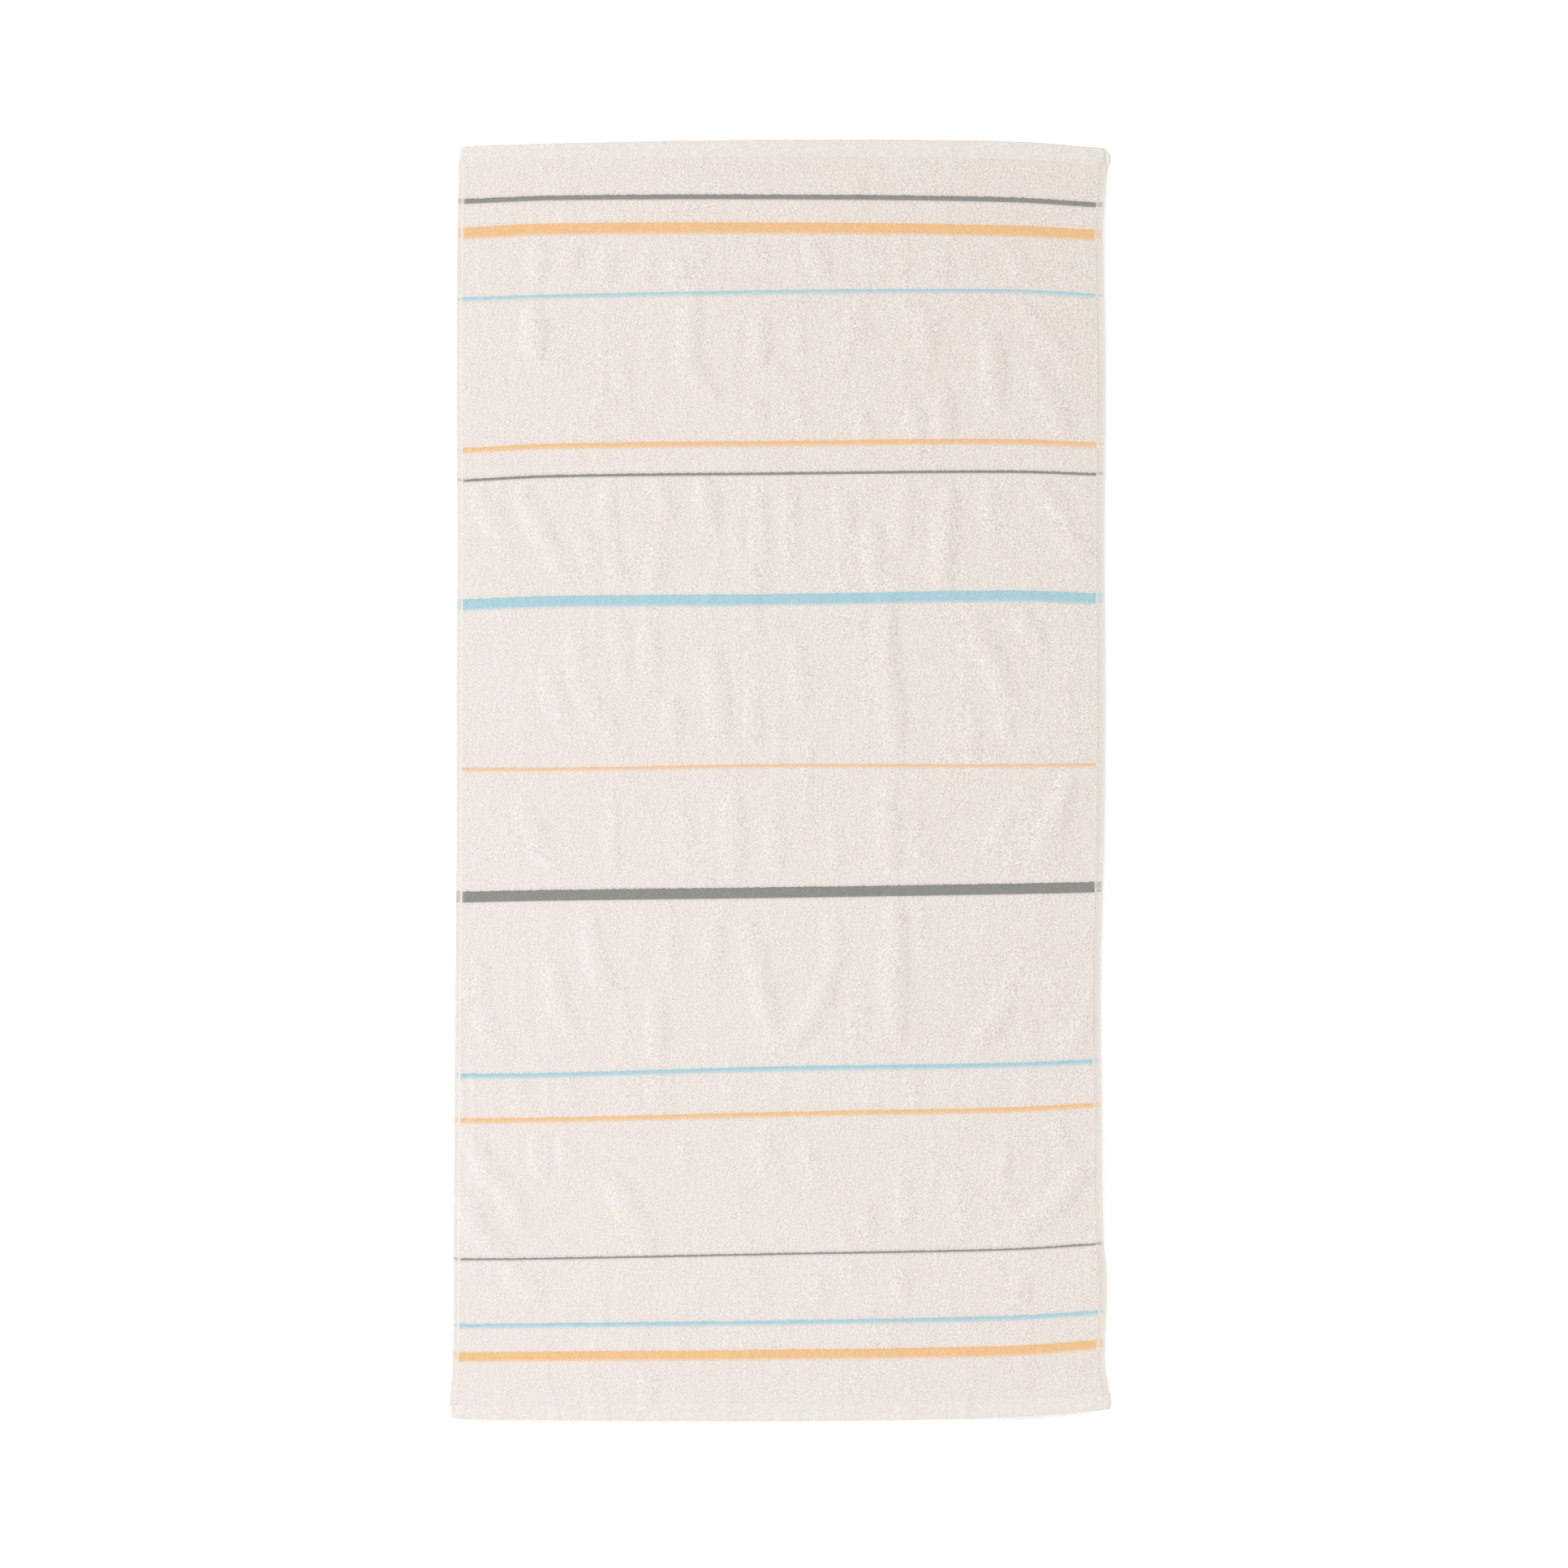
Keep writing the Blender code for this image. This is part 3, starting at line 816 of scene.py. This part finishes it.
def pile_panel(number, t_low, t_high, below, above, material):
    """The looped pile between two bands, as a lattice of points that stand
    higher on the loops. Over the band below it the last loops hang down
    unevenly, and over the band above it they stop in a straight line. below
    and above are those bands' dyes."""
    a, b = LOOP_A, LOOP_B
    wide = INNER_LEFT + INNER_RIGHT
    n = round(wide / a)
    m = max(4, round((t_high - t_low) / b))
    rng = np.random.default_rng(1000 + number)
    i, j = np.meshgrid(np.arange(n + 1), np.arange(m + 1))
    odd = j % 2
    s = -INNER_LEFT + (i + 0.5 * odd) * wide / (n + 0.5)
    s = np.where(i == 0, -INNER_LEFT, np.where(i == n, INNER_RIGHT, s))
    t = t_low + j * (t_high - t_low) / m
    inside = (i > 0) & (i < n) & (j > 0) & (j < m)
    s = s + rng.uniform(-0.25, 0.25, s.shape) * a * inside
    t = t + rng.uniform(-0.25, 0.25, s.shape) * b * inside
    loop = crumbs(s, t, 17)
    from_side = np.minimum(s + INNER_LEFT, INNER_RIGHT - s)
    # the pile is fuller to the right and towards the top end, and lies down
    # by the hems
    rise = LOOP_RISE * (1.0 + 0.08 * noise(s, t, 22.0, 11))
    rise = rise * (1.0 + 0.14 * s / HALF + 0.10 * t / TOP)
    to_end = np.minimum(TOP - END_HEM - t, t - BOTTOM - END_HEM)
    rise = rise * (0.30 + 0.70 * np.clip(to_end / 9.0, 0, 1))
    rise = rise * (0.15 + 0.85 * np.clip(from_side / 3.5, 0, 1))
    z = (
        PILE
        + rise * (loop - 0.1 + 0.10 * rng.uniform(-1, 1, s.shape))
        + 0.14 * noise(s, t, 34.0, 12)
        + 0.02 * noise(s, t, 9.0, 13)
    )
    # the pile slopes down to the end hems and to the band above it, and
    # stays level at the side hems
    from_top = t_high - t
    z = z + np.clip(1 - from_side / 3.5, 0, 1) * 0.12
    if above:
        z = z - np.clip(1 - from_top / 1.3, 0, 1) * 0.42
    else:
        z = z - np.clip(1 - from_top / 3.6, 0, 1) ** 1.5 * 0.90
    if below:
        # the loops at the lower edge hang over the band by uneven lengths
        hang = rng.uniform(0.0, 0.9, s.shape) + 0.05 * noise(s, t * 0 + number, 7.0, 18)
        t = t - np.where(j == 0, hang, 0) - np.where(j == 1, 0.25 * hang, 0)
        z = np.where(j == 0, BAND_TOP + 0.15 + 0.30 * np.clip(hang, 0, 2), z)
    else:
        z = z - np.clip(1 - (t - t_low) / 3.6, 0, 1) ** 1.5 * 0.90
    row = n + 1
    at = np.arange((m + 1) * row).reshape(m + 1, row)
    tris = []
    for parity in (0, 1):
        p = at[parity:m:2]
        q = at[parity + 1 : m + 1 : 2]
        l, r, ul, ur = p[:, :-1], p[:, 1:], q[:, :-1], q[:, 1:]
        if parity == 0:
            pair = [(l, r, ul), (r, ur, ul)]
        else:
            pair = [(l, ur, ul), (l, r, ur)]
        tris += [np.stack(x, -1).reshape(-1, 3) for x in pair]
    triangles = np.concatenate(tris)
    points = place(s.ravel(), t.ravel(), z.ravel())
    uv = np.stack(
        [
            0.02 + 0.96 * (i.ravel() + 0.5 * odd.ravel() * inside.ravel()) / (n + 0.5),
            0.02 + 0.96 * j.ravel() / m,
        ],
        1,
    )
    uv = np.clip(uv, 0.02, 0.98)
    ring = grid_ring(m + 1, row)
    loft = np.clip(loop, 0, 1).ravel()
    # how strongly the painted shade and highlights on the loops show: stronger to the right and towards the
    # top end, where the key light grazes the pile, and weaker by the end hems and on loops that hang over a
    # band
    grain = (1.0 + 0.16 * s / HALF + 0.08 * t / TOP) * (
        0.55 + 0.45 * np.clip(to_end / 9.0, 0, 1)
    )
    grain = (grain * np.where((j == 0) & bool(below), 0.5, 1.0)).ravel()
    # which loops share a band's dyed weft, and how much
    most = 0.28 if above == "grey" else 0.44
    upper = np.where(j == m, most, np.where(j == m - 1, 0.25 * most, 0.0)) * bool(above)
    lower = np.where(j == 0, 0.24, np.where(j == 1, 0.07, 0.0)) * bool(below)
    share = np.maximum(upper, lower).ravel()
    colour = np.ones((len(points), 4))
    colour[:, :3] = DYES[above] if above else COTTON
    if below:
        colour[(j < m / 2).ravel(), :3] = DYES[below]
    points, triangles, uv = skirted(
        points, triangles, ring, 1.0 * MM, uv, pushed_out(uv[ring])
    )
    piece = new_mesh(
        f"pile_{number:02d}",
        points,
        triangles,
        uv,
        {
            "loft": with_border(loft, ring),
            "grain": with_border(grain, ring),
            "dyed": with_border(share, ring),
        },
        with_border(colour, ring),
    )
    piece.data.materials.append(material)
    return piece


def woven_band(name, middle, wide, fade, pale, material):
    """One flat woven band, with fine slanting ribs, reaching a little under
    the pile on both sides. Its dye fades out over the lowest part, and pale
    is the share of white elsewhere."""
    pitch = 1.5
    n = round((INNER_LEFT + INNER_RIGHT) / pitch)
    low, high = middle - wide / 2 - 0.9, middle + wide / 2 + 0.9
    m = max(3, round((high - low) / pitch))
    across = np.linspace(-INNER_LEFT, INNER_RIGHT, n + 1)
    s, t = np.meshgrid(across, np.linspace(low, high, m + 1))
    ribs = np.sin(2 * np.pi * (s / 3.1 + (t - middle) / 5.2))
    rng = np.random.default_rng(int(abs(middle) * 10))
    z = (
        BAND_TOP
        + 0.03 * ribs
        + 0.06 * rng.uniform(-1, 1, s.shape)
        + 0.15 * noise(s, t, 34.0, 12)
        + 0.08 * noise(s, t, 9.0, 21)
    )
    # it climbs over the left hem's thickness, and is paler there
    by_hem = np.clip(1 - (s + INNER_LEFT) / 4.0, 0, 1)
    z = z + 0.34 * by_hem
    points = place(s.ravel(), t.ravel(), z.ravel())
    at = np.arange(s.size).reshape(s.shape)
    l, r, ul, ur = at[:-1, :-1], at[:-1, 1:], at[1:, :-1], at[1:, 1:]
    triangles = np.concatenate(
        [np.stack(x, -1).reshape(-1, 3) for x in ((l, r, ur), (l, ur, ul))]
    )
    u, v = np.meshgrid(np.linspace(0.02, 0.98, n + 1), np.linspace(0.02, 0.98, m + 1))
    uv = np.stack([u.ravel(), v.ravel()], 1)
    ring = grid_ring(m + 1, n + 1)
    points, triangles, uv = skirted(
        points, triangles, ring, 0.8 * MM, uv, pushed_out(uv[ring])
    )
    white = np.clip(1 - (t.ravel() - (middle - wide / 2)) / fade, 0, 1) * 0.55
    white = np.maximum(white, pale + 0.30 * by_hem.ravel())
    piece = new_mesh(
        f"band_{name}",
        points,
        triangles,
        uv,
        {"white": with_border(white, ring)},
    )
    piece.data.materials.append(material)
    return piece


def lofted(name, rings, uv_long, values=None, colours=None):
    """A closed strip from rings of points, all with the same number of
    points, capped at both ends."""
    count, around = rings.shape[:2]
    points = rings.reshape(-1, 3)
    at = np.arange(count * around).reshape(count, around)
    nxt = np.roll(at, -1, axis=1)
    quads = np.stack([at[:-1], at[1:], nxt[1:], nxt[:-1]], -1).reshape(-1, 4)
    step = (np.arange(around + 1) / around) * 0.94 + 0.03
    u = np.asarray(uv_long) * 0.94 + 0.03
    ua, ub = u[:-1, None], u[1:, None]
    va, vb = step[None, :-1], step[None, 1:]
    full = np.broadcast_to
    shape = (count - 1, around)
    quad_uv = np.stack(
        [
            np.stack([full(ua, shape), full(va, shape)], -1),
            np.stack([full(ub, shape), full(va, shape)], -1),
            np.stack([full(ub, shape), full(vb, shape)], -1),
            np.stack([full(ua, shape), full(vb, shape)], -1),
        ],
        2,
    ).reshape(-1, 2)
    turn = np.arange(around) / around * 2 * math.pi
    disc = 0.008 * np.stack([np.cos(turn), np.sin(turn)], 1)
    caps = [at[0][None, :], at[-1][None, ::-1]]
    cap_uv = [disc + (0.012, 0.012), disc[::-1] + (0.988, 0.012)]
    piece = new_mesh(
        name,
        points,
        [quads, *caps],
        np.concatenate([quad_uv, *cap_uv]),
        values,
        colours,
    )
    # faces point outwards whichever way the rings run
    work = bmesh.new()
    work.from_mesh(piece.data)
    bmesh.ops.recalc_face_normals(work, faces=work.faces)
    work.to_mesh(piece.data)
    work.free()
    return piece


# The side hem's cross-section: distance in from the edge of a hem 9 mm wide,
# and height. It runs over the top from the edge inwards, and back underneath.
SIDE_PROFILE = (
    (0.00, 0.60), (0.03, 1.20), (0.14, 1.75), (0.42, 2.08), (1.00, 2.26),
    (2.30, 2.34), (3.70, 2.36), (4.90, 2.34), (5.80, 2.29), (6.50, 2.37),
    (7.30, 2.45), (8.20, 2.48), (9.00, 2.46), (9.80, 2.38), (10.4, 2.26),
    (10.5, 0.60), (6.00, 0.03), (2.00, 0.00), (0.55, 0.06), (0.10, 0.28),
)


def side_hem(name, side, material):
    """The narrow hem down one long side, folded over twice."""
    start, stop = BOTTOM + END_HEM - 1.5, TOP - END_HEM + 1.5
    rows = round((stop - start) / (2.2))
    t = np.linspace(start, stop, rows + 1)
    profile = np.array(SIDE_PROFILE)
    drawn, height = profile[:, 0][None, :], profile[:, 1][None, :]
    inward = drawn * SIDE_HEMS[side] / 9.0
    tt = np.broadcast_to(t[:, None], (len(t), profile.shape[0]))
    over = np.clip((height - 1.2) / 1.2, 0, 1)
    rng = np.random.default_rng(71 + (side > 0))
    z = height + over * (
        0.10 * noise(inward + 0 * tt, tt, 3.0, 31 + side)
        + 0.06 * rng.uniform(-1, 1, tt.shape)
        + 0.06 * np.cos(2 * math.pi * tt / STITCH) * np.clip(1 - np.abs(drawn - 6.0) / 1.5, 0, 1)
    )
    edge = 0.22 * noise(tt * 0, tt, 7.0, 41 + side) * np.clip(1 - inward / 3.0, 0, 1)
    s = side * (HALF - inward + edge)
    rings = place(s, tt, z)
    colour, share = dyed((tt - 0.7).ravel())
    fold = np.clip((drawn - 6.2) / 0.9, 0, 1) * np.clip((10.2 - drawn) / 1.2, 0, 1)
    fold = fold * (0.60 - 0.25 * side + 0.30 * noise(tt * 0, tt, 45.0, 43 + side))
    fold = np.clip(np.where(height > 1.5, fold, 0), 0, 1).ravel()
    # painted shade darkens the outer edge on the left, which faces the key light, and painted light brightens
    # it on the right, which turns away from that light
    rim = np.clip(1.2 - inward / (1.1 if side < 0 else 2.3), 0, 1) * (height > 0.5)
    rim = rim * (0.85 if side < 0 else 1.0)
    piece = lofted(
        name,
        rings,
        (t - start) / (stop - start),
        {"dyed": share, "fold": fold, "rim": (rim + 0 * tt).ravel()},
        colour,
    )
    piece.data.materials.append(material)
    return piece


# The end hem's cross-section, the same way.
END_PROFILE = (
    (0.00, 0.60), (0.04, 1.15), (0.20, 1.65), (0.70, 2.00), (1.80, 2.20),
    (3.20, 2.28), (4.60, 2.30), (5.80, 2.30), (7.00, 2.30), (8.20, 2.30),
    (9.40, 2.32), (10.6, 2.34), (11.8, 2.36), (13.0, 2.38), (14.2, 2.38),
    (15.4, 2.36), (16.6, 2.28), (17.8, 2.36), (18.8, 2.30), (19.4, 1.90),
    (19.0, 0.60), (12.0, 0.02), (3.0, 0.00), (0.55, 0.08), (0.12, 0.35),
)


def end_hem(name, end, material):
    """The flat woven hem across one end, with its corners rounded."""
    pitch = 1.2
    near = [HALF - x for x in (0.0, 0.35, 1.0, 2.0, 3.0, 4.2, 5.4, 6.6)]
    cols = round(2 * (HALF - 7.8) / pitch)
    s = np.concatenate(
        [[-x for x in near], np.linspace(-HALF + 7.8, HALF - 7.8, cols + 1), near[::-1]]
    )
    profile = np.array(END_PROFILE)
    inward, height = profile[:, 0][None, :], profile[:, 1][None, :]
    ss = np.broadcast_to(s[:, None], (len(s), profile.shape[0]))
    left, right = CORNERS[-1, end], CORNERS[1, end]
    from_side = np.clip(HALF - np.abs(ss), 0, None)
    k = np.clip(1 - from_side / np.where(ss < 0, left.along, right.along), 0, 1)
    cut = np.where(ss < 0, left.up, right.up) * (1 - np.sqrt(1 - k * k))
    shrink = (END_HEM + 1.4 - cut) / (END_HEM + 1.4)
    depth = cut + inward * shrink
    # at the two sides the hem thins to a rounded edge
    thin = np.sqrt(np.clip(from_side / 1.4, 0.12, 1))
    over = np.clip((height - 1.2) / 1.0, 0, 1)
    # slanting ribs that climb to the right
    ribs = np.sin(2 * math.pi * (ss / 5.8 + end * inward / 3.3))
    rng = np.random.default_rng(90 + end)
    z = 0.35 + (height - 0.35) * thin + over * thin * (
        0.035 * ribs + 0.10 * noise(ss, inward + 0 * ss, 16.0, 51 + end)
        + 0.04 * rng.uniform(-1, 1, ss.shape)
    )
    low = end * (TOP if end > 0 else -BOTTOM)
    edge = 0.25 * noise(ss, ss * 0, 9.0, 61 + end) * np.clip(1 - inward / 4.0, 0, 1)
    t = low - end * (depth + edge)
    rings = place(ss, t, z)
    top = height > 0.5
    # painted light brightens the outer edge at the right end, and painted shade darkens it at the left end,
    # which faces the key light
    rim = np.clip(1 - (HALF - ss) / 3.0, 0, 1) * top * 0.6
    shade = np.clip(1.2 - (HALF + ss) / 1.1, 0, 1) * top * 0.85
    piece = lofted(
        name,
        rings,
        (s + HALF) / (2 * HALF),
        {"rim": rim.ravel(), "shade": shade.ravel()},
    )
    piece.data.materials.append(material)
    return piece


def stitch_line(name, path, height, material, fat=0.30):
    """A row of stitches along a path of cloth points, each a short rounded
    length of thread, drawn into the cloth at both ends."""
    s, t = path
    x, y = lie(s, t)
    run = np.concatenate([[0], np.cumsum(np.hypot(np.diff(x), np.diff(y)))])
    count = int(run[-1] // STITCH)
    starts = (np.arange(count) + 0.5) * run[-1] / count
    long = np.array([-0.48, -0.28, 0.28, 0.48]) * STITCH
    fats = np.array([0.3, 0.95, 0.95, 0.3]) * fat
    drop = np.array([-0.45, 0.0, 0.0, -0.45])
    sides = 4
    turn = np.arange(sides) / sides * 2 * math.pi
    points, faces = [], []
    rng = np.random.default_rng(abs(hash_of(name)))
    for middle in starts:
        at = middle + long
        px, py = np.interp(at, run, x), np.interp(at, run, y)
        dx, dy = px[-1] - px[0], py[-1] - py[0]
        length = math.hypot(dx, dy)
        nx, ny = -dy / length, dx / length
        shift = rng.uniform(-0.12, 0.12)
        px, py = px + nx * shift, py + ny * shift
        z = height + drop + lift_at(px, py) + rng.uniform(-0.05, 0.05)
        base = len(points)
        for cx, cy, cz, r in zip(px, py, z, fats):
            for angle in turn:
                points.append(
                    (
                        cx + nx * r * math.cos(angle) - MID_X,
                        cy + ny * r * math.cos(angle) - MID_Y,
                        cz + r * math.sin(angle),
                    )
                )
        for ring in range(3):
            for k in range(sides):
                a = base + ring * sides + k
                b = base + ring * sides + (k + 1) % sides
                faces.append((a, b, b + sides, a + sides))
        faces.append(tuple(base + k for k in reversed(range(sides))))
        faces.append(tuple(base + 3 * sides + k for k in range(sides)))
    mesh = bpy.data.meshes.new(name)
    mesh.from_pydata([tuple(c * MM for c in p) for p in points], [], faces)
    work = bmesh.new()
    work.from_mesh(mesh)
    bmesh.ops.recalc_face_normals(work, faces=work.faces)
    work.to_mesh(mesh)
    work.free()
    mesh.shade_smooth()
    piece = bpy.data.objects.new(name, mesh)
    bpy.context.scene.collection.objects.link(piece)
    piece.data.materials.append(material)
    return piece


# A thin pale strip shows a little past the cloth's edge by the top right
# corner and along the bottom end: how far, at each place along the edge.
Shows = namedtuple("Shows", "at out")
TOP_RIGHT_STRIP = (
    Shows(648, 0.0), Shows(657, 0.7), Shows(664, 1.0), Shows(669, 2.2),
    Shows(674, 3.8), Shows(680, 4.4), Shows(684, 4.4), Shows(686.5, 3.4),
    Shows(688, 1.2),
)
BOTTOM_LIP = (
    Shows(-347, 0.0), Shows(-335, 1.6), Shows(-290, 2.3), Shows(-180, 2.4),
    Shows(-80, 2.0), Shows(20, 2.0), Shows(120, 1.8), Shows(200, 2.0),
    Shows(260, 3.0), Shows(310, 3.2), Shows(335, 1.8), Shows(349, 0.0),
)
# its cross-section: the share of how far it shows, and height
STRIP_SECTION = (
    (-6.0, 0.05), (-6.0, 0.70), (-2.0, 1.10), (0.0, 1.48), (0.35, 1.46),
    (0.65, 1.28), (0.88, 0.95), (1.00, 0.55), (0.97, 0.20), (0.85, 0.05),
    (0.0, 0.02),
)


def pale_edge_strip(name, table, edge, material):
    """A thin pale strip that shows past an edge. edge gives, for places along it,
    the edge's points and the directions outwards."""
    at = np.linspace(table[0].at, table[-1].at, 160)
    out = curve_through(at, [k.at for k in table], [k.out for k in table])
    out = np.clip(out * (1 + 0.25 * noise(at, 0 * at, 6.0, 77)), 0.02, None)
    x, y, nx, ny = edge(at)
    profile = np.array(STRIP_SECTION)
    far, height = profile[:, 0][None, :], profile[:, 1][None, :]
    far = np.where(far > 0, far * out[:, None], far)
    px, py = x[:, None] + nx * far, y[:, None] + ny * far
    z = height + lift_at(px, py)
    rings = np.stack([(px - MID_X) * MM, (py - MID_Y) * MM, z * MM], -1)
    piece = lofted(name, rings, np.linspace(0, 1, len(at)), {"rim": np.ones(px.size)})
    piece.data.materials.append(material)
    return piece


def right_edge(y):
    """The right side's edge at each height y."""
    return curve_through(y, SIDES_Y, [row.right for row in SIDES_UP]) - 0.3, y, 1, 0


def bottom_edge(s):
    """The bottom end's edge at each s."""
    x, y = lie(s, BOTTOM)
    return x, y + 0.3, 0, -1


def hash_of(text):
    """A number that stays the same for a name."""
    total = 7
    for letter in text:
        total = (total * 31 + ord(letter)) % 100003
    return total


# ------------------------------------------------------------- the towel
pieces = []
slots = {}


def keep(piece):
    pieces.append(piece)
    return piece


cloth = keep(ground_cloth())
terry = terry_material()
bands = bands_up()
low, below = BOTTOM + END_HEM, None
for number, (middle, wide, dye, pale, line) in enumerate(bands):
    keep(pile_panel(number, low, middle - wide / 2, below, dye, terry))
    low, below = middle + wide / 2, dye
keep(pile_panel(len(bands), low, TOP - END_HEM, below, None, terry))

woven = {name: band_material(name, dye) for name, dye in DYES.items()}
for middle, wide, dye, pale, line in bands:
    fade = 0.7 if dye == "grey" else 2.0
    keep(woven_band(line, middle, wide, fade, pale, woven[dye]))

# lit and shaded copies of one hem colour, painted for how the key light reaches each side
left_hem = hem_material("side_hem_l", LEFT_HEM_LIT_COPY, LEFT_RIM_PAINTED_SHADE)
right_hem = hem_material("side_hem_r", RIGHT_HEM_SHADED_COPY, RIGHT_RIM_PAINTED_LIGHT)
keep(side_hem("side_hem_left", -1, left_hem))
keep(side_hem("side_hem_right", 1, right_hem))
flat_hem = end_hem_material()
keep(end_hem("end_hem_top", 1, flat_hem))
keep(end_hem("end_hem_bottom", -1, flat_hem))
keep(pale_edge_strip("edge_strip_top", TOP_RIGHT_STRIP, right_edge, flat_hem))
keep(pale_edge_strip("edge_strip_bottom", BOTTOM_LIP, bottom_edge, flat_hem))

thread = thread_material()
down = np.linspace(BOTTOM + END_HEM - 1, TOP - END_HEM + 1, 600)
cross = np.linspace(-HALF + 2.5, HALF - 2.5, 400)
for name, path, height in (
    ("stitches_left", (0 * down - HALF + SIDE_HEMS[-1] * 0.66, down), 2.15),
    ("stitches_right", (0 * down + HALF - SIDE_HEMS[1] * 0.66, down), 2.15),
    ("stitches_top", (cross, TOP - END_HEM + 1.4 + 0 * cross), 2.16),
    ("stitches_bottom", (cross, BOTTOM + END_HEM - 1.4 + 0 * cross), 2.16),
):
    keep(stitch_line(name, path, height, thread))

for piece in pieces:
    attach(piece, "root")
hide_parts("towel")

# ------------------------------------------------ floor, light and camera
def floor_material():
    n = Nodes("floor", 0.9, 0.0)
    grain = n.noise(n.coords, 300.0, 2.0)
    colour = n.mix(grain, (0.93, 0.93, 0.93), (0.95, 0.95, 0.95))
    n.shader.inputs["Emission Color"].default_value = (1, 1, 1, 1)
    n.shader.inputs["Emission Strength"].default_value = 0.25
    return n.done(colour)


bpy.ops.mesh.primitive_plane_add(size=12.0, location=(0, 0, -0.0002))
floor = bpy.context.object
floor.name = "floor"
floor.data.materials.append(floor_material())

world = bpy.data.worlds.new("studio")
world.use_nodes = True
world.node_tree.nodes["Background"].inputs["Color"].default_value = (1.0, 0.960, 0.918, 1)
world.node_tree.nodes["Background"].inputs["Strength"].default_value = 0.645
bpy.context.scene.world = world


def softbox(name, at, aim, width, height, power):
    lamp = bpy.data.lights.new(name, "AREA")
    lamp.color = (0.896, 0.948, 1.0)
    lamp.shape = "RECTANGLE"
    lamp.size, lamp.size_y = width, height
    lamp.energy = power
    thing = bpy.data.objects.new(name, lamp)
    bpy.context.scene.collection.objects.link(thing)
    thing.location = at
    thing.rotation_euler = (Vector(aim) - Vector(at)).to_track_quat("-Z", "Y").to_euler()
    return thing


softbox("key_light", (-5.8, 1.0, 3.7), (0.1, 0.0, 0.0), 2.3, 3.2, 296.0)
softbox("fill_light", (1.2, -2.8, 3.0), (0.0, 0.0, 0.0), 2.5, 2.5, 26.0)

FRAME_WIDE = 1932 * 0.889 * MM  # what the frame shows at the cloth's height
lens = bpy.data.cameras.new("camera")
lens.lens = 100.0
lens.sensor_width = 36.0
camera = bpy.data.objects.new("camera", lens)
bpy.context.scene.collection.objects.link(camera)
height = FRAME_WIDE / 2 / (18.0 / lens.lens)
camera.location = ((3.1 - MID_X) * MM, (-5.3 - MID_Y) * MM, height + 0.003)
camera.rotation_euler = (0, 0, 0)
bpy.context.scene.camera = camera
bpy.context.scene.view_settings.view_transform = "Standard"

bpy.context.view_layer.update()
